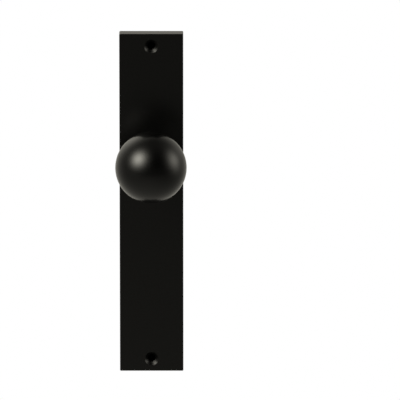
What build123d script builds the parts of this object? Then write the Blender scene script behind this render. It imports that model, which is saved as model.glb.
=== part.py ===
from build123d import *
from math import cos, radians, sin, sqrt, asin, degrees
import os

# Ball knob on a blank long plate, sprung to return to rest.
# Millimetres. +Z is up, the plate stands in XZ, its back lies on the door face at y = 0,
# the knob stands out towards -Y and the spindle goes into the door towards +Y.
# The origin is halfway between the two screw holes, on the door face.
# A depth below is a distance in front of the door face, so depth d lies at y = -d.

# ---- long plate
plate_width = 45.0
plate_height = 245.0
plate_thickness = 10.0
plate_corner_radius = 0.8
plate_edge_radius = 0.6
plate_skin = 2.0
plate_wall = 2.5
pocket_corner_radius = 1.0
rib_width = 2.0
rib_setback = 0.6
rib_clearance = 0.6

# ---- screw holes
screw_end_distance = 9.0
screw_hole_radius = 2.6
countersink_radius = 4.9
countersink_angle = 90.0
screw_boss_radius = 7.0
spigot_radius = 4.8
spigot_length = 19.5
spigot_chamfer = 0.8

# ---- knob position and sizes
knob_from_top = 86.5
ball_radius = 25.0
neck_stem_length = 15.1
neck_journal_radius = 8.0
neck_collar_overhang = 3.0
neck_collar_length = 2.4
neck_collar_rounding = 0.8
neck_waist_cut = 0.4
neck_waist_start = (0.5, -1.0)
neck_waist_end = (1.0, 0.35)
neck_head_radius = 9.6
neck_seat_radius = 8.6
neck_seat_length = 2.4
neck_shadow_gap = 0.7
neck_tail = 3.4
neck_tail_chamfer = 0.6

# ---- running fits and standard clearances
journal_clearance = 0.04
thrust_gap = 0.1
moving_gap = 0.3
cover_side_gap = 0.4

# ---- bush and washer
bush_wall = 2.0
bush_flange_overhang = 1.0
bush_flange_thickness = 0.6
bush_flange_rounding = 0.2
bearing_boss_wall = 3.0
thrust_washer_thickness = 0.6
thrust_washer_setback = 0.6

# ---- spindle, stud and grub screw
spindle_width = 8.0
spindle_reach = 57.0
spindle_chamfer = 0.8
spindle_edge_radius = 0.35
socket_clearance = 0.03
socket_end_wall = 1.9
stud_radius = 4.0
stud_neck_length = 9.0
stud_ball_length = 14.0
stud_chamfer = 0.6
drill_tip_depth = 2.0
grub_radius = 2.5
grub_length = 4.0
grub_end_distance = 3.4
grub_socket_flats = 2.5
grub_socket_depth = 2.0

# ---- return spring
wire_radius = 0.6
coil_pitch = 1.21
coil_whole_turns = 2
coil_clearance = 0.9
leg_overhang = 2.0
wire_bend_radius = 1.5
spring_skin_gap = 0.2

# ---- spring driver
driver_thickness = 0.9
driver_back_depth = 0.9
driver_finger_length = 3.2
driver_flat_cut = 1.5
turn_limit = 45.0
stop_lug_width = 6.0
stop_lug_overlap = 2.6
stop_gap = 0.05
stop_block_width = 3.0
stop_block_length = 3.4

# ---- wave washer and circlip
wave_washer_height = 0.6
wave_washer_width = 2.6
circlip_thickness = 1.0
circlip_groove_cut = 0.4
circlip_width = 2.3
circlip_gap = 3.4
circlip_lug_radius = 1.7
circlip_lug_hole_radius = 0.75
circlip_lug_rise = 1.6
circlip_lug_offset = 3.3

# ---- spring cover and its screws
cover_thickness = 0.6
cover_setback = 0.1
cover_corner_radius = 2.0
cover_hole_gap = 0.7
cover_reach_up = 22.6
cover_post_overhang = 1.9
spring_post_radius = 2.5
cover_boss_radius = 2.8
cover_boss_across = 15.5
cover_boss_up = 18.0
cover_screw_radius = 1.25
cover_screw_head_radius = 2.3
cover_screw_length = 5.0
cover_screw_slot_width = 0.6
cover_screw_slot_depth = 0.6

# ---- sizes that follow from the ones above
knob_height = plate_height / 2 - knob_from_top
screw_height = plate_height / 2 - screw_end_distance
pocket_depth = plate_thickness - plate_skin
pocket_half_width = plate_width / 2 - plate_wall
bush_bore_radius = neck_journal_radius + journal_clearance
bush_radius = neck_journal_radius + bush_wall
bearing_boss_radius = bush_radius + bearing_boss_wall
neck_collar_radius = neck_journal_radius + neck_collar_overhang
neck_waist_radius = neck_journal_radius - neck_waist_cut
bush_flange_radius = neck_collar_radius + bush_flange_overhang
driver_hub_radius = bearing_boss_radius
thrust_washer_radius = driver_hub_radius - thrust_washer_setback
collar_depth = plate_thickness + bush_flange_thickness + thrust_gap
head_depth = collar_depth + neck_collar_length + neck_stem_length
ball_at_head = head_depth + neck_shadow_gap
ball_depth = ball_at_head + sqrt(ball_radius**2 - neck_head_radius**2)
neck_end_depth = ball_at_head + neck_seat_length
stud_hole_depth = neck_end_depth - stud_neck_length
socket_depth = stud_hole_depth - socket_end_wall
socket_half_width = spindle_width / 2 + socket_clearance
grub_depth = socket_depth - grub_end_distance
driver_front_depth = driver_back_depth + driver_thickness
leg_across = spring_post_radius + wire_radius
coil_radius = bearing_boss_radius + coil_clearance + wire_radius
coil_outer_radius = coil_radius + wire_radius
coil_end_angle = degrees(asin((leg_across - wire_bend_radius) / coil_radius))
coil_turns = coil_whole_turns + 2 * coil_end_angle / 360
driver_finger_inner = coil_outer_radius + coil_clearance
driver_finger_outer = driver_finger_inner + driver_finger_length
driver_finger_width = 2 * (spring_post_radius - moving_gap)
driver_flat_distance = neck_journal_radius - driver_flat_cut
spring_post_distance = driver_finger_outer + moving_gap + spring_post_radius
leg_reach = spring_post_distance + leg_overhang
stop_block_inner = coil_outer_radius + coil_clearance
stop_lug_reach = stop_block_inner + stop_lug_overlap
coil_front_depth = pocket_depth - spring_skin_gap - wire_radius
coil_back_depth = coil_front_depth - coil_turns * coil_pitch
hub_front_depth = driver_front_depth + driver_thickness + spring_skin_gap
bearing_boss_depth = hub_front_depth + thrust_washer_thickness + thrust_gap
wave_washer_depth = driver_back_depth - wave_washer_height
circlip_depth = wave_washer_depth - circlip_thickness
wave_washer_radius = neck_journal_radius + wave_washer_width
circlip_groove_radius = neck_journal_radius - circlip_groove_cut
circlip_radius = circlip_groove_radius + circlip_width
circlip_lug_distance = neck_journal_radius + circlip_lug_rise
circlip_outer_reach = sqrt(circlip_lug_distance**2 + circlip_lug_offset**2) + circlip_lug_radius
cover_hole_radius = circlip_outer_reach + cover_hole_gap
cover_reach_down = spring_post_distance + spring_post_radius + cover_post_overhang
cover_front_depth = cover_setback + cover_thickness
cover_boss_spots = [(-cover_boss_across, cover_boss_up), (cover_boss_across, cover_boss_up)]
cover_screw_spots = cover_boss_spots + [(0, -spring_post_distance)]
cover_middle = (cover_reach_up - cover_reach_down) / 2

# ---- profile of a cover screw, as (depth, radius): the head's top, its cone where it leaves the
# cover, and the shank
cover_screw_end = cover_setback + cover_screw_length
head_cone_end = cover_setback + cover_screw_head_radius - cover_screw_radius
head_top = [(cover_setback, cover_screw_head_radius), (cover_setback, 0)]
head_at_cover = (cover_front_depth, cover_screw_head_radius - cover_thickness)
shank_profile = [
    (head_cone_end, cover_screw_radius),
    (cover_screw_end, cover_screw_radius),
    (cover_screw_end, 0),
]

# ---- reference planes and axes
# The knob plane looks at the plate from the front, centred on the knob's axis: its local x is
# world X, its local y is world Z, and offsets along it are depths.
knob_plane = Plane(origin=(0, 0, knob_height), x_dir=(1, 0, 0), z_dir=(0, -1, 0))
# A profile plane holds the profile of a turned piece: local x is depth, local y is radius. The
# turning plane is the one on the knob's own axis.
def profile_plane(across, up):
    return Plane(origin=(across, 0, knob_height + up), x_dir=(0, -1, 0), z_dir=(-1, 0, 0))


turning_plane = profile_plane(0, 0)
knob_axis = Axis((0, 0, knob_height), (0, -1, 0))


# The cast plate: a thin front skin with a rim round the back, cross ribs, a boss behind each
# screw hole, the bearing boss, the spring post, two cover bosses and the two turning stops.
upper_rib = knob_height + cover_reach_up + rib_clearance + rib_width / 2
lower_rib = knob_height - cover_reach_down - rib_clearance - rib_width / 2
boss_edge = screw_height - screw_boss_radius
lower_rib_step = (lower_rib + boss_edge) / 3
cross_rib_heights = [
    upper_rib,
    lower_rib,
    (upper_rib + boss_edge) / 2,
    lower_rib - lower_rib_step,
    lower_rib - 2 * lower_rib_step,
]

with BuildPart() as long_plate:
    with BuildSketch(Plane.XZ):
        RectangleRounded(plate_width, plate_height, plate_corner_radius)
    extrude(amount=plate_thickness)
    plate_front = long_plate.faces().sort_by(Axis.Y)[0]
    fillet(plate_front.edges(), radius=plate_edge_radius)

    with BuildSketch(Plane.XZ):
        RectangleRounded(2 * pocket_half_width, plate_height - 2 * plate_wall, pocket_corner_radius)
    extrude(amount=pocket_depth, mode=Mode.SUBTRACT)

    # Cross ribs from wall to wall, and a long rib down the middle above and below the spring room.
    with BuildSketch(Plane.XZ.offset(rib_setback)):
        for height in cross_rib_heights:
            with Locations((0, height)):
                Rectangle(2 * pocket_half_width, rib_width)
        with Locations((0, (upper_rib + screw_height) / 2)):
            Rectangle(rib_width, screw_height - upper_rib)
        with Locations((0, (lower_rib - screw_height) / 2)):
            Rectangle(rib_width, lower_rib + screw_height)
    extrude(amount=pocket_depth - rib_setback)

    # Solid bosses behind the screw holes, level with the rim so that the screws clamp on the door.
    with BuildSketch(Plane.XZ):
        with Locations((0, screw_height), (0, -screw_height)):
            Circle(screw_boss_radius)
    extrude(amount=pocket_depth)

    # Behind each screw boss a spigot reaches into the door, so the screw bore is far longer than
    # the plate is thick.
    with BuildSketch(Plane.XZ.offset(-spigot_length)):
        with Locations((0, screw_height), (0, -screw_height)):
            Circle(spigot_radius)
    extrude(amount=spigot_length)
    spigot_ends = long_plate.faces().sort_by(Axis.Y)[-2:]
    chamfer(spigot_ends.edges(), length=spigot_chamfer)

    # Bearing boss round the bush.
    with BuildSketch(knob_plane.offset(bearing_boss_depth)):
        Circle(bearing_boss_radius)
    extrude(amount=pocket_depth - bearing_boss_depth)

    # Spring post and cover bosses, which carry the cover.
    with BuildSketch(knob_plane.offset(cover_front_depth)):
        with Locations(*cover_boss_spots):
            Circle(cover_boss_radius)
        with Locations((0, -spring_post_distance)):
            Circle(spring_post_radius)
    extrude(amount=pocket_depth - cover_front_depth)

    # Turning stops: each block's face lies along the stop lug's side at the end of its turn.
    for side in (-1, 1):
        stop_plane = knob_plane.offset(cover_front_depth).rotated((0, side * turn_limit, 0))
        stop_across = side * (stop_lug_width / 2 + stop_gap + stop_block_width / 2)
        with BuildSketch(stop_plane):
            with Locations((stop_across, stop_block_inner + stop_block_length / 2)):
                Rectangle(stop_block_width, stop_block_length)
        extrude(amount=pocket_depth - cover_front_depth)

    # Bore for the bush, right through the skin and its boss.
    with BuildSketch(knob_plane.offset(bearing_boss_depth)):
        Circle(bush_radius)
    extrude(amount=plate_thickness - bearing_boss_depth, mode=Mode.SUBTRACT)

    # Countersunk screw holes.
    with Locations(Plane.XZ.offset(plate_thickness)):
        with Locations((0, screw_height), (0, -screw_height)):
            CounterSinkHole(
                radius=screw_hole_radius,
                counter_sink_radius=countersink_radius,
                counter_sink_angle=countersink_angle,
            )

    # Threaded holes for the cover screws, with the lower part of each head's cone.
    for across, up in cover_screw_spots:
        screw_plane = profile_plane(across, up)
        with BuildSketch(screw_plane):
            Polygon((cover_front_depth, 0), head_at_cover, *shank_profile, align=None)
        revolve(axis=Axis(screw_plane.origin, (0, -1, 0)), mode=Mode.SUBTRACT)

# The flanged nylon bush: its flange keeps the turning knob off the plate's paint.
with BuildPart() as neck_bush:
    with BuildSketch(turning_plane):
        Polygon(
            (bearing_boss_depth, bush_bore_radius),
            (bearing_boss_depth, bush_radius),
            (plate_thickness, bush_radius),
            (plate_thickness, bush_flange_radius),
            (plate_thickness + bush_flange_thickness, bush_flange_radius),
            (plate_thickness + bush_flange_thickness, bush_bore_radius),
            align=None,
        )
    revolve(axis=knob_axis)
    flange_rim = neck_bush.edges().filter_by(GeomType.CIRCLE).group_by(SortBy.RADIUS)[-1]
    fillet(flange_rim.sort_by(Axis.Y)[0], radius=bush_flange_rounding)

# The double-legged return spring. Its coil turns round the bearing boss, and its two legs hang
# down either side of the spring post and of the driver's finger above the post.
start_angle = radians(270 - coil_end_angle)
coil_plane = Plane(
    origin=(0, -coil_back_depth, knob_height),
    x_dir=(cos(start_angle), 0, sin(start_angle)),
    z_dir=(0, -1, 0),
)
coil = coil_plane.location * Helix(coil_pitch, coil_turns * coil_pitch, coil_radius)
leg_top = coil_radius + wire_bend_radius
back_leg = (-leg_across, -coil_back_depth, knob_height)
front_leg = (leg_across, -coil_front_depth, knob_height)

with BuildPart() as return_spring:
    with BuildLine() as spring_wire:
        add(coil)
        for leg, coil_end, heading in (
            (Vector(back_leg), coil @ 0, -(coil % 0)),
            (Vector(front_leg), coil @ 1, coil % 1),
        ):
            leg_start = leg - Vector(0, 0, leg_top)
            leg_end = leg - Vector(0, 0, leg_reach)
            Spline(coil_end, leg_start, tangents=(heading, (0, 0, -1)))
            Line(leg_start, leg_end)
    wire_path = spring_wire.wires()[0]
    with BuildSketch(Plane(origin=wire_path @ 0, z_dir=wire_path % 0)):
        Circle(wire_radius)
    sweep(path=wire_path, is_frenet=True)

# The sheet cover that closes the spring room.
with BuildPart() as spring_cover:
    with BuildSketch(knob_plane.offset(cover_setback)):
        with Locations((0, cover_middle)):
            RectangleRounded(
                2 * (pocket_half_width - cover_side_gap),
                cover_reach_up + cover_reach_down,
                cover_corner_radius,
            )
        Circle(cover_hole_radius, mode=Mode.SUBTRACT)
    extrude(amount=cover_thickness)
    for across, up in cover_screw_spots:
        screw_plane = profile_plane(across, up)
        with BuildSketch(screw_plane):
            Polygon((cover_front_depth, 0), head_at_cover, *head_top, align=None)
        revolve(axis=Axis(screw_plane.origin, (0, -1, 0)), mode=Mode.SUBTRACT)

# Three countersunk screws hold the cover, one of them in the spring post.
with BuildPart() as cover_screws:
    for across, up in cover_screw_spots:
        screw_plane = profile_plane(across, up)
        with BuildSketch(screw_plane):
            Polygon(*reversed(head_top), *shank_profile, align=None)
        revolve(axis=Axis(screw_plane.origin, (0, -1, 0)))
    # Cross recess in each head.
    with BuildSketch(knob_plane.offset(cover_setback)):
        with Locations(*cover_screw_spots):
            Rectangle(2 * cover_screw_radius, cover_screw_slot_width)
            Rectangle(cover_screw_slot_width, 2 * cover_screw_radius)
    extrude(amount=cover_screw_slot_depth, mode=Mode.SUBTRACT)

# The ball, with the neck's seat and a tapped blind hole in its back.
with BuildPart() as ball_knob:
    with Locations((0, -ball_depth, knob_height)):
        Sphere(ball_radius)
    with BuildSketch(turning_plane):
        Polygon(
            (ball_depth - ball_radius, 0),
            (ball_depth - ball_radius, neck_seat_radius),
            (neck_end_depth, neck_seat_radius),
            (neck_end_depth, stud_radius),
            (neck_end_depth + stud_ball_length, stud_radius),
            (neck_end_depth + stud_ball_length + drill_tip_depth, 0),
            align=None,
        )
    revolve(axis=knob_axis, mode=Mode.SUBTRACT)

# The turned neck: tail with flats and circlip groove, journal, collar, waist, head and seat.
waist_depth = (collar_depth + neck_collar_length + head_depth) / 2
with BuildPart() as knob_neck:
    with BuildSketch(turning_plane):
        with BuildLine():
            tail = Polyline(
                (neck_end_depth, neck_seat_radius),
                (neck_end_depth, 0),
                (-neck_tail, 0),
                (-neck_tail, neck_journal_radius - neck_tail_chamfer),
                (-neck_tail + neck_tail_chamfer, neck_journal_radius),
                (circlip_depth, neck_journal_radius),
                (circlip_depth, circlip_groove_radius),
                (wave_washer_depth, circlip_groove_radius),
                (wave_washer_depth, neck_journal_radius),
                (collar_depth, neck_journal_radius),
                (collar_depth, neck_collar_radius),
                (collar_depth + neck_collar_length, neck_collar_radius),
            )
            Spline(
                tail @ 1,
                (waist_depth, neck_waist_radius),
                (head_depth, neck_head_radius),
                tangents=(neck_waist_start, neck_waist_end),
            )
            Polyline(
                (head_depth, neck_head_radius),
                (head_depth, neck_seat_radius),
                (neck_end_depth, neck_seat_radius),
            )
        make_face()
    revolve(axis=knob_axis)
    collar_rims = knob_neck.edges().filter_by(GeomType.CIRCLE).group_by(SortBy.RADIUS)[-1]
    fillet(collar_rims, radius=neck_collar_rounding)

    # Flats that drive the spring driver.
    flat_width = neck_journal_radius - driver_flat_distance
    flat_middle = driver_flat_distance + flat_width / 2
    with BuildSketch(knob_plane.offset(-neck_tail)):
        with Locations((-flat_middle, 0), (flat_middle, 0)):
            Rectangle(flat_width, 2 * neck_journal_radius)
    extrude(amount=neck_tail + hub_front_depth, mode=Mode.SUBTRACT)

    # Square socket for the spindle, tapped hole for the stud, tapped hole for the grub screw.
    with BuildSketch(knob_plane.offset(-neck_tail)):
        Rectangle(2 * socket_half_width, 2 * socket_half_width)
    extrude(amount=neck_tail + socket_depth, mode=Mode.SUBTRACT)
    with BuildSketch(knob_plane.offset(stud_hole_depth)):
        Circle(stud_radius)
    extrude(amount=stud_neck_length, mode=Mode.SUBTRACT)
    with BuildSketch(Plane.XY.offset(knob_height)):
        with Locations((0, -grub_depth)):
            Circle(grub_radius)
    extrude(amount=-neck_collar_radius, mode=Mode.SUBTRACT)

# The stud that joins ball and neck.
with BuildPart() as joining_stud:
    with BuildSketch(knob_plane.offset(stud_hole_depth)):
        Circle(stud_radius)
    extrude(amount=stud_neck_length + stud_ball_length)
    stud_ends = joining_stud.faces().filter_by(Axis.Y)
    chamfer(stud_ends.edges(), length=stud_chamfer)

# The square spindle that turns the latch.
with BuildPart() as spindle:
    with BuildSketch(knob_plane.offset(-spindle_reach)):
        Rectangle(spindle_width, spindle_width)
    extrude(amount=spindle_reach + socket_depth)
    spindle_ends = spindle.faces().filter_by(Axis.Y)
    chamfer(spindle_ends.edges(), length=spindle_chamfer)
    fillet(spindle.edges().filter_by(Axis.Y), radius=spindle_edge_radius)

# The grub screw under the neck, which clamps the spindle.
with BuildPart() as grub_screw:
    with BuildSketch(Plane.XY.offset(knob_height - spindle_width / 2)):
        with Locations((0, -grub_depth)):
            Circle(grub_radius)
    extrude(amount=-grub_length)
    with BuildSketch(Plane.XY.offset(knob_height - spindle_width / 2 - grub_length)):
        with Locations((0, -grub_depth)):
            RegularPolygon(radius=grub_socket_flats / 2, side_count=6, major_radius=False)
    extrude(amount=grub_socket_depth, mode=Mode.SUBTRACT)

# The spring driver: hub with a double-D hole, a finger between the spring's legs and a stop lug.
with BuildPart() as spring_driver:
    with BuildSketch(knob_plane.offset(driver_back_depth)):
        Circle(driver_hub_radius)
        with Locations((0, -driver_finger_outer / 2)):
            Rectangle(driver_finger_width, driver_finger_outer)
        with Locations((0, stop_lug_reach / 2)):
            Rectangle(stop_lug_width, stop_lug_reach)
    extrude(amount=driver_thickness)
    with BuildSketch(knob_plane.offset(driver_front_depth)):
        Circle(driver_hub_radius)
    extrude(amount=hub_front_depth - driver_front_depth)
    with BuildSketch(knob_plane.offset(driver_front_depth)):
        with Locations((0, -(driver_finger_inner + driver_finger_outer) / 2)):
            Rectangle(driver_finger_width, driver_finger_outer - driver_finger_inner)
    extrude(amount=pocket_depth - driver_front_depth - moving_gap)
    with BuildSketch(knob_plane.offset(driver_back_depth)):
        Circle(neck_journal_radius)
        Rectangle(2 * driver_flat_distance, 2 * neck_journal_radius, mode=Mode.INTERSECT)
    extrude(amount=hub_front_depth - driver_back_depth, mode=Mode.SUBTRACT)

# The thrust washer between the driver and the bearing boss.
with BuildPart() as thrust_washer:
    with BuildSketch(knob_plane.offset(hub_front_depth)):
        Circle(thrust_washer_radius)
        Circle(neck_journal_radius, mode=Mode.SUBTRACT)
    extrude(amount=thrust_washer_thickness)

# The wave washer that takes up the end play.
with BuildPart() as wave_washer:
    with BuildSketch(knob_plane.offset(wave_washer_depth)):
        Circle(wave_washer_radius)
        Circle(neck_journal_radius, mode=Mode.SUBTRACT)
    extrude(amount=wave_washer_height)

# The circlip that holds the turning pieces on the plate.
circlip_lug_spots = [
    (-circlip_lug_offset, circlip_lug_distance),
    (circlip_lug_offset, circlip_lug_distance),
]
with BuildPart() as circlip:
    with BuildSketch(knob_plane.offset(circlip_depth)):
        Circle(circlip_radius)
        with Locations(*circlip_lug_spots):
            Circle(circlip_lug_radius)
        Circle(circlip_groove_radius, mode=Mode.SUBTRACT)
        with Locations((0, circlip_radius)):
            Rectangle(circlip_gap, circlip_radius, mode=Mode.SUBTRACT)
        with Locations(*circlip_lug_spots):
            Circle(circlip_lug_hole_radius, mode=Mode.SUBTRACT)
    extrude(amount=circlip_thickness)

pieces = {
    "long_plate": long_plate,
    "neck_bush": neck_bush,
    "return_spring": return_spring,
    "spring_cover": spring_cover,
    "cover_screws": cover_screws,
    "ball_knob": ball_knob,
    "knob_neck": knob_neck,
    "joining_stud": joining_stud,
    "spindle": spindle,
    "grub_screw": grub_screw,
    "spring_driver": spring_driver,
    "thrust_washer": thrust_washer,
    "wave_washer": wave_washer,
    "circlip": circlip,
}

os.makedirs("parts", exist_ok=True)
for name, piece in pieces.items():
    piece.part.label = name
    export_step(piece.part, f"parts/{name}.step")
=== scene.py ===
import bpy
import bmesh
import math
import numpy as np
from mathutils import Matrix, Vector


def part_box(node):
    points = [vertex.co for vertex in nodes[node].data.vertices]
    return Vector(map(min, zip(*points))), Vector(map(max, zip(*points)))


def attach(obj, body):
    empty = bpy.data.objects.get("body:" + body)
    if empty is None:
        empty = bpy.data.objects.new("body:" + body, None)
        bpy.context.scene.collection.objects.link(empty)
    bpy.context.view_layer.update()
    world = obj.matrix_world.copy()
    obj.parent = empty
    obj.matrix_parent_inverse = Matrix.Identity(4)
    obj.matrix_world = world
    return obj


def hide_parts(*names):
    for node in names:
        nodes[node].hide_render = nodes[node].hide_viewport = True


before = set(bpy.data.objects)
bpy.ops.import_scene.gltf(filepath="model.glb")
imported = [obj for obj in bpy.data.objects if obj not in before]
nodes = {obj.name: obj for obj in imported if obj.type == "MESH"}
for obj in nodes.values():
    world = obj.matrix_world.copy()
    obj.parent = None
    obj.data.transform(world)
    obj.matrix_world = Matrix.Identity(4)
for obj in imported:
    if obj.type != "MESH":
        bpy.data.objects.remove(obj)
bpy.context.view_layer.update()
mm = 0.001
# nearly all of a noise texture's values lie between these two
noiseSpan = {"From Min": 0.3, "From Max": 0.7}
print("frame loaded:", len(nodes), "parts")


def linearColour(hexText):
    # sRGB hex to the linear values that Blender's sockets take
    values = [int(hexText[i:i + 2], 16) / 255 for i in (1, 3, 5)]
    return [v / 12.92 if v <= 0.04045 else ((v + 0.055) / 1.055) ** 2.4 for v in values] + [1.0]


def addNode(tree, kind, settings=None, links=None):
    # settings are the node's own properties or socket values, links are {socket: output it reads}
    node = tree.nodes.new(kind)
    for key, value in (settings or {}).items():
        if isinstance(key, str) and hasattr(node, key):
            setattr(node, key, value)
        else:
            node.inputs[key].default_value = value
    for socket, output in (links or {}).items():
        tree.links.new(output, node.inputs[socket])
    return node


def newMaterial(name):
    material = bpy.data.materials.new(name)
    material.use_nodes = True
    material.node_tree.nodes.clear()
    return material, material.node_tree


def ringMesh(name, points):
    # one quad between each four neighbours of a grid of points that closes in rows and columns
    rows, columns = points.shape[:2]
    index = np.arange(rows * columns).reshape(rows, columns)
    below, beside = np.roll(index, -1, axis=0), np.roll(index, -1, axis=1)
    quads = np.stack([index, below, np.roll(below, -1, axis=1), beside], axis=-1)
    mesh = bpy.data.meshes.new(name)
    mesh.from_pydata(points.reshape(-1, 3), [], quads.reshape(-1, 4))
    return mesh


def cornerNormals(mesh, sharpDegrees):
    # normal of a corner = sum of area * normal over the faces at its vertex that turn less than
    # sharpDegrees from its own face, so flat faces stay flat and roundings take up the turn
    vertex = np.empty(len(mesh.loops), np.int32)
    size, area = np.empty(len(mesh.polygons), np.int32), np.empty(len(mesh.polygons))
    normal = np.empty(3 * len(mesh.polygons))
    mesh.loops.foreach_get("vertex_index", vertex)
    mesh.polygons.foreach_get("loop_total", size)
    mesh.polygons.foreach_get("area", area)
    mesh.polygons.foreach_get("normal", normal)
    normal = normal.reshape(-1, 3)
    face = np.repeat(np.arange(len(size)), size)
    order = np.argsort(vertex, kind="stable")
    around = np.bincount(vertex)[vertex]
    corner = np.repeat(np.arange(len(vertex)), around)
    step = np.arange(len(corner)) - np.repeat(np.cumsum(around) - around, around)
    other = order[np.repeat(np.searchsorted(vertex[order], vertex), around) + step]
    near = (normal[face[corner]] * normal[face[other]]).sum(axis=1) > math.cos(math.radians(sharpDegrees))
    pull = (area[face[other]] * near)[:, None] * normal[face[other]]
    total = np.stack([np.bincount(corner, pull[:, axis], len(vertex)) for axis in range(3)], axis=1)
    length = np.linalg.norm(total, axis=1, keepdims=True)
    return np.where(length > 0, total / np.maximum(length, np.finfo(float).tiny), normal[face])


# far below the shortest real edges first, because a wide merge tears the fine spring mesh open
mergeDistances = (0.00001 * mm, 0.0001 * mm, 0.001 * mm)


def finishMesh(mesh, sharpDegrees):
    # doubles are merged at the first distance that closes the mesh, normals turned outwards, and
    # only real corners stay sharp
    work = bmesh.new()
    work.from_mesh(mesh)
    for distance in mergeDistances:
        bmesh.ops.remove_doubles(work, verts=work.verts, dist=distance)
        if all(edge.is_manifold for edge in work.edges):
            break
    bmesh.ops.dissolve_degenerate(work, edges=work.edges, dist=mergeDistances[0])
    bmesh.ops.recalc_face_normals(work, faces=work.faces)
    work.to_mesh(mesh)
    work.free()
    for name in ("sharp_edge", "custom_normal"):
        if name in mesh.attributes:
            mesh.attributes.remove(mesh.attributes[name])
    mesh.polygons.foreach_set("use_smooth", np.ones(len(mesh.polygons), bool))
    mesh.normals_split_custom_set(cornerNormals(mesh, sharpDegrees))
    return mesh


def addPiece(name, mesh, material, body, replaced):
    piece = bpy.data.objects.new(name, mesh)
    bpy.context.scene.collection.objects.link(piece)
    mesh.materials.clear()
    mesh.materials.append(material)
    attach(piece, body)
    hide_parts(replaced)
    return piece


cameraSettings = {
    "target": (34.3 * mm, -2.0 * mm, 0.54 * mm),
    "elevation": 13.7,
    "distance": 5.0,
    "lens": 636.0,
}


def makeCamera(settings):
    data = bpy.data.cameras.new("studio_camera")
    data.lens = settings["lens"]
    camera = bpy.data.objects.new("studio_camera", data)
    bpy.context.scene.collection.objects.link(camera)
    tilt = math.radians(settings["elevation"])
    back = Vector((0.0, -math.cos(tilt), math.sin(tilt)))
    camera.location = Vector(settings["target"]) + back * settings["distance"]
    camera.rotation_euler = (math.pi / 2 - tilt, 0.0, 0.0)
    bpy.context.scene.camera = camera


makeCamera(cameraSettings)
print("camera placed")


# The studio is a white sweep whose light on the part is dim in front and grows to behind, with
# soft glows and shades in it. Each glow is turned to the right of the front and raised over the
# horizon, in degrees; the first is the key light and the second the side light.
studioSettings = {
    "floorDrop": 600.0 * mm,
    "floorSize": 30.0,
    "white": "#ffffff",
    "warmWhite": "#fffbed",
    "frontTurn": 15.0,
    "frontRise": 21.0,
    "sweepStrength": 0.22,
    "sweepPower": 0.95,
    "roundOff": 0.0001,
    "floorReach": (-3.4, -1.7),
    "floorFade": (0.76, 1.12),
    "glows": [
        {"turn": -50.5, "rise": 35.0, "spread": 0.052, "strength": 9.4},
        {"turn": 88.0, "rise": 19.0, "spread": 0.055, "strength": 2.6},
        {"turn": -153.0, "rise": 31.0, "spread": 0.08, "strength": 0.75},
        {"turn": 131.0, "rise": 17.0, "spread": 0.05, "strength": 0.25},
        {"turn": 180.0, "rise": 12.0, "spread": 0.02, "strength": 0.12},
        {"turn": 0.0, "rise": -40.0, "spread": 0.30, "strength": 0.125},
        {"turn": 180.0, "rise": -40.0, "spread": 0.25, "strength": 0.12},
        {"turn": 180.0, "rise": 57.0, "spread": 0.11, "strength": -0.17},
        {"turn": -95.0, "rise": -10.0, "spread": 0.15, "strength": -0.10},
        {"turn": 112.0, "rise": -25.0, "spread": 0.15, "strength": -0.05},
    ],
}


def outward(turnDegrees, riseDegrees):
    turn, rise = math.radians(turnDegrees), math.radians(riseDegrees)
    return math.sin(turn) * math.cos(rise), -math.cos(turn) * math.cos(rise), math.sin(rise)


def sweepStrength(tree, direction, settings):
    # light = sweep * (1 - cos(angle from the front)) ^ power
    #         + sum of glow * exp((cos(angle from the glow) - 1) / spread)
    # and roundOff keeps the power's base above zero
    front = outward(settings["frontTurn"], settings["frontRise"])
    facing = addNode(tree, "ShaderNodeVectorMath", {"operation": "DOT_PRODUCT", 1: front}, {0: direction})
    away = addNode(tree, "ShaderNodeMath", {"operation": "SUBTRACT", 0: 1.0 + settings["roundOff"]},
                   {1: facing.outputs["Value"]})
    grown = addNode(tree, "ShaderNodeMath", {"operation": "POWER", 1: settings["sweepPower"]},
                    {0: away.outputs[0]})
    total = addNode(tree, "ShaderNodeMath", {"operation": "MULTIPLY", 1: settings["sweepStrength"]},
                    {0: grown.outputs[0]})
    for glow in settings["glows"]:
        centre = outward(glow["turn"], glow["rise"])
        near = addNode(tree, "ShaderNodeVectorMath", {"operation": "DOT_PRODUCT", 1: centre}, {0: direction})
        fall = addNode(tree, "ShaderNodeMath", {"operation": "MULTIPLY_ADD", 1: 1 / glow["spread"],
                       2: -1 / glow["spread"]}, {0: near.outputs["Value"]})
        soft = addNode(tree, "ShaderNodeMath", {"operation": "EXPONENT"}, {0: fall.outputs[0]})
        total = addNode(tree, "ShaderNodeMath", {"operation": "MULTIPLY_ADD", 1: glow["strength"]},
                        {0: soft.outputs[0], 2: total.outputs[0]})
    return total.outputs[0]


def sweepGlow(tree, kind, throw, settings):
    # the sweep looks plain white, and lights the part with its own warm white
    path = addNode(tree, "ShaderNodeLightPath")
    strength = addNode(tree, "ShaderNodeMix", {"data_type": "FLOAT", 3: 1.0},
                       {0: path.outputs["Is Camera Ray"], 2: throw})
    colour = addNode(tree, "ShaderNodeMix", {"data_type": "RGBA", 6: linearColour(settings["warmWhite"]),
                     7: linearColour(settings["white"])}, {0: path.outputs["Is Camera Ray"]})
    return addNode(tree, kind, links={"Color": colour.outputs[2], "Strength": strength.outputs[0]})


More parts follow.
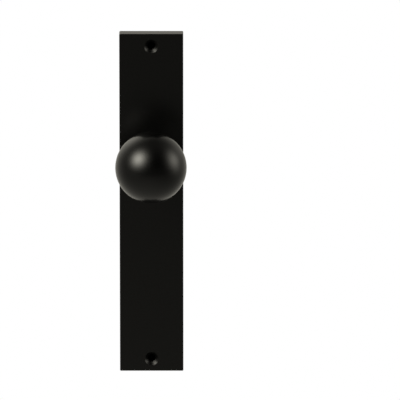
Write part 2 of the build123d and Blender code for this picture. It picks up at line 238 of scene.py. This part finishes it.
def makeFloor(settings):
    half, low = settings["floorSize"] / 2, -settings["floorDrop"]
    corners = [(-half, -half, low), (half, -half, low), (half, half, low), (-half, half, low)]
    mesh = bpy.data.meshes.new("studio_floor")
    mesh.from_pydata(corners, [], [(0, 1, 2, 3)])
    floor = bpy.data.objects.new("studio_floor", mesh)
    bpy.context.scene.collection.objects.link(floor)
    material, tree = newMaterial("white studio floor")
    place = addNode(tree, "ShaderNodeTexCoord").outputs["Object"]
    direction = addNode(tree, "ShaderNodeVectorMath", {"operation": "NORMALIZE"}, {0: place})
    # the floor far in front of the part is a little dimmer than the floor near it
    split = addNode(tree, "ShaderNodeSeparateXYZ", links={0: place})
    fade = addNode(tree, "ShaderNodeMapRange", {"From Min": settings["floorReach"][0],
                   "From Max": settings["floorReach"][1], "To Min": settings["floorFade"][0],
                   "To Max": settings["floorFade"][1]}, {"Value": split.outputs["Y"]})
    throw = addNode(tree, "ShaderNodeMath", {"operation": "MULTIPLY"},
                    {0: sweepStrength(tree, direction.outputs[0], settings), 1: fade.outputs[0]})
    glow = sweepGlow(tree, "ShaderNodeEmission", throw.outputs[0], settings)
    addNode(tree, "ShaderNodeOutputMaterial", links={"Surface": glow.outputs[0]})
    mesh.materials.append(material)


def makeSurround(settings):
    world = bpy.data.worlds.new("studio_surround")
    world.use_nodes = True
    tree = world.node_tree
    tree.nodes.clear()
    direction = addNode(tree, "ShaderNodeTexCoord").outputs["Generated"]
    throw = sweepStrength(tree, direction, settings)
    glow = sweepGlow(tree, "ShaderNodeBackground", throw, settings)
    addNode(tree, "ShaderNodeOutputWorld", links={"Surface": glow.outputs[0]})
    bpy.context.scene.world = world
    bpy.context.scene.view_settings.view_transform = "Standard"


# Two small black flags stand close behind the screw bores and keep the studio light out of them,
# as a door would. They aren't seen themselves.
flagSettings = {"endDistance": 9.0 * mm, "radius": 7.0 * mm, "gap": 0.5 * mm, "sides": 24,
                "colour": "#000000"}


def makeFlags(settings):
    low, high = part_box("long_plate")
    angle = np.linspace(0.0, 2 * np.pi, settings["sides"], endpoint=False)
    material, tree = newMaterial("matt black flag")
    shader = addNode(tree, "ShaderNodeBsdfDiffuse", {"Color": linearColour(settings["colour"])})
    addNode(tree, "ShaderNodeOutputMaterial", links={"Surface": shader.outputs[0]})
    for name, height in (("upper_flag", high[2] - settings["endDistance"]),
                         ("lower_flag", low[2] + settings["endDistance"])):
        depth = np.full(settings["sides"], high[1] + settings["gap"])
        rim = np.stack([settings["radius"] * np.cos(angle), depth,
                        height + settings["radius"] * np.sin(angle)], axis=1)
        mesh = bpy.data.meshes.new(name)
        mesh.from_pydata(rim, [], [list(range(settings["sides"]))])
        mesh.materials.append(material)
        flag = bpy.data.objects.new(name, mesh)
        bpy.context.scene.collection.objects.link(flag)
        flag.visible_camera = False


makeFloor(studioSettings)
makeSurround(studioSettings)
makeFlags(flagSettings)
print("studio lit")


def closeSurface(tree, settings, fixed, links, glossNoise, reliefNoise):
    # roughness = the gloss noise, spread over the roughness range
    # relief = reliefHeight * the relief noise
    gloss = addNode(tree, "ShaderNodeMapRange", {**noiseSpan, "To Min": settings["roughness"][0],
                    "To Max": settings["roughness"][1]}, {"Value": glossNoise.outputs["Fac"]})
    bump = addNode(tree, "ShaderNodeBump", {"Strength": 1.0, "Distance": settings["reliefHeight"]},
                   {"Height": reliefNoise.outputs["Fac"]})
    shader = addNode(tree, "ShaderNodeBsdfPrincipled", fixed,
                     {**links, "Roughness": gloss.outputs[0], "Normal": bump.outputs[0]})
    addNode(tree, "ShaderNodeOutputMaterial", links={"Surface": shader.outputs[0]})


# Satin black powder coat, sprayed and stoved: near black, an even low gloss, and a fine
# orange peel that only shows where a light grazes it.
coatSettings = {
    "colour": "#010101",
    "colourThin": "#020202",
    "roughness": (0.20, 0.24),
    "ior": 1.5,
    "peelWidth": 0.9 * mm,
    "reliefHeight": 0.012 * mm,
    "gritWidth": 0.22 * mm,
    "cloudWidth": 24.0 * mm,
}

# The plate carries the same coat a little thicker, with a softer gloss and a wider peel.
plateCoatSettings = {**coatSettings, "roughness": (0.27, 0.31), "peelWidth": 1.1 * mm}


def powderCoat(name, settings):
    # wide clouds shift the colour, fine grit the gloss, and the orange peel is the relief
    material, tree = newMaterial(name)
    place = addNode(tree, "ShaderNodeTexCoord").outputs["Object"]
    cloud = addNode(tree, "ShaderNodeTexNoise", {"Scale": 1 / settings["cloudWidth"], "Detail": 3.0},
                    {"Vector": place})
    peel = addNode(tree, "ShaderNodeTexNoise", {"Scale": 1 / settings["peelWidth"], "Detail": 1.0},
                   {"Vector": place})
    grit = addNode(tree, "ShaderNodeTexNoise", {"Scale": 1 / settings["gritWidth"], "Detail": 2.0},
                   {"Vector": place})
    colour = addNode(tree, "ShaderNodeMix", {"data_type": "RGBA", 6: linearColour(settings["colour"]),
                     7: linearColour(settings["colourThin"])}, {0: cloud.outputs["Fac"]})
    closeSurface(tree, settings, {"IOR": settings["ior"]}, {"Base Color": colour.outputs[2]}, grit, peel)
    return material


# Zinc plated and passivated steel sheet: pale grey, a cool cast and soft cloudy gloss.
zincSettings = {"colour": "#a9adb0", "colourDull": "#8d9295", "roughness": (0.28, 0.46),
                "cloudSize": (5.0 * mm, 5.0 * mm, 5.0 * mm), "reliefHeight": 0.004 * mm}

# Small screws with the same plating, whose cloudiness is as small as they are.
screwSettings = {**zincSettings, "cloudSize": (0.8 * mm, 0.8 * mm, 0.8 * mm)}

# Oiled spring wire: dark grey steel with a slightly uneven drawn skin.
wireSettings = {"colour": "#6d6c69", "colourDull": "#4b4a48", "roughness": (0.22, 0.40),
                "cloudSize": (1.6 * mm, 1.6 * mm, 1.6 * mm), "reliefHeight": 0.004 * mm}

# Black oxide on steel: deep grey with a faint blue cast, half matt.
oxideSettings = {"colour": "#2b2c2f", "colourDull": "#1c1d1f", "roughness": (0.34, 0.50),
                 "cloudSize": (2.2 * mm, 2.2 * mm, 2.2 * mm), "reliefHeight": 0.004 * mm}

# Sintered steel: matt grey with open pores.
sinterSettings = {"colour": "#6a6966", "colourDull": "#4d4c4a", "roughness": (0.50, 0.68),
                  "cloudSize": (0.5 * mm, 0.5 * mm, 0.5 * mm), "reliefHeight": 0.02 * mm}

# Bright drawn steel bar: pale, with fine draw lines that run along the spindle.
drawnSettings = {"colour": "#b4b2ae", "colourDull": "#94928e", "roughness": (0.20, 0.36),
                 "cloudSize": (0.18 * mm, 14.0 * mm, 0.18 * mm), "reliefHeight": 0.004 * mm}


def bareMetal(name, settings):
    # one noise, stretched to cloudSize, carries the colour, the gloss and the fine relief together
    material, tree = newMaterial(name)
    place = addNode(tree, "ShaderNodeTexCoord").outputs["Object"]
    scale = tuple(1 / size for size in settings["cloudSize"])
    stretch = addNode(tree, "ShaderNodeMapping", {"Scale": scale}, {"Vector": place})
    cloud = addNode(tree, "ShaderNodeTexNoise", {"Scale": 1.0, "Detail": 5.0}, {"Vector": stretch.outputs[0]})
    colour = addNode(tree, "ShaderNodeMix", {"data_type": "RGBA", 6: linearColour(settings["colourDull"]),
                     7: linearColour(settings["colour"])}, {0: cloud.outputs["Fac"]})
    closeSurface(tree, settings, {"Metallic": 1.0}, {"Base Color": colour.outputs[2]}, cloud, cloud)
    return material


# Moulded black nylon: deep black with a soft, waxy gloss.
nylonSettings = {"colour": "#101011", "roughness": (0.42, 0.52), "ior": 1.53, "grainWidth": 0.4 * mm,
                 "reliefHeight": 0.005 * mm}


def mouldedNylon(name, settings):
    # one fine grain carries the gloss and the relief together, and the colour is even
    material, tree = newMaterial(name)
    place = addNode(tree, "ShaderNodeTexCoord").outputs["Object"]
    grain = addNode(tree, "ShaderNodeTexNoise", {"Scale": 1 / settings["grainWidth"], "Detail": 3.0},
                    {"Vector": place})
    fixed = {"IOR": settings["ior"], "Base Color": linearColour(settings["colour"])}
    closeSurface(tree, settings, fixed, {}, grain, grain)
    return material


coat = powderCoat("satin black powder coat on turned aluminium", coatSettings)
plateCoat = powderCoat("satin black powder coat on cast aluminium", plateCoatSettings)
zinc = bareMetal("zinc plated steel sheet", zincSettings)
screwZinc = bareMetal("zinc plated steel screws", screwSettings)
wire = bareMetal("oiled spring wire", wireSettings)
oxide = bareMetal("black oxide steel", oxideSettings)
sinter = bareMetal("sintered steel", sinterSettings)
drawn = bareMetal("bright drawn steel bar", drawnSettings)
nylon = mouldedNylon("moulded black nylon", nylonSettings)
print("materials made")


# The pressed wave washer: a thin flat ring with three waves, as high as the room it has.
waveSettings = {
    "waves": 3,
    "thickness": 0.22 * mm,
    "boreRadius": 8.15 * mm,
    "edge": 0.05 * mm,
    "steps": 240,
    "sharpDegrees": 50.0,
}


def waveWasher(settings):
    # depth = middle + half the free height * cos(waves * angle), for each point of a flat section
    low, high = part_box("wave_washer")
    outer, edge, half = (high[0] - low[0]) / 2, settings["edge"], settings["thickness"] / 2
    inner = settings["boreRadius"]
    radius = np.array([inner, inner + edge, outer - edge, outer, outer, outer - edge, inner + edge, inner])
    offset = np.array([half - edge, half, half, half - edge, edge - half, -half, -half, edge - half])
    angle = np.linspace(0.0, 2 * np.pi, settings["steps"], endpoint=False)
    swing = ((high[1] - low[1]) / 2 - half) * np.cos(settings["waves"] * angle)
    depth = (low[1] + high[1]) / 2 + swing[None, :] + offset[:, None]
    points = np.stack([radius[:, None] * np.cos(angle), depth,
                       (low[2] + high[2]) / 2 + radius[:, None] * np.sin(angle)], axis=-1)
    return finishMesh(ringMesh("wave_washer_pressed", points), settings["sharpDegrees"])


addPiece("wave_washer_pressed", waveWasher(waveSettings), wire, "knob", "wave_washer")
print("wave washer pressed")


# Merged copies of the CAD parts, so that each curved face shades as one surface: the part, its
# material, its body, its slot, and the turn in degrees from which an edge is a sharp corner.
finishTable = [
    ("long_plate", plateCoat, "plate", "black_coat", 32.0),
    ("neck_bush", nylon, "plate", "bush_nylon", 32.0),
    ("return_spring", wire, "plate", "spring_wire", 60.0),
    ("spring_cover", zinc, "plate", "zinc_sheet", 32.0),
    ("cover_screws", screwZinc, "plate", "zinc_screw", 32.0),
    ("ball_knob", coat, "knob", "black_coat", 32.0),
    ("knob_neck", coat, "knob", "black_neck", 32.0),
    ("joining_stud", oxide, "knob", "dark_steel", 32.0),
    ("spindle", drawn, "knob", "bright_steel", 32.0),
    ("grub_screw", oxide, "knob", "dark_steel", 32.0),
    ("spring_driver", sinter, "knob", "sintered_steel", 32.0),
    ("thrust_washer", nylon, "knob", "bush_nylon", 32.0),
    ("circlip", oxide, "knob", "dark_steel", 32.0),
]

for nodeName, material, body, slotName, sharpDegrees in finishTable:
    mesh = finishMesh(nodes[nodeName].data.copy(), sharpDegrees)
    addPiece(nodeName + "_finished", mesh, material, body, nodeName)
print("parts finished:", len(finishTable))
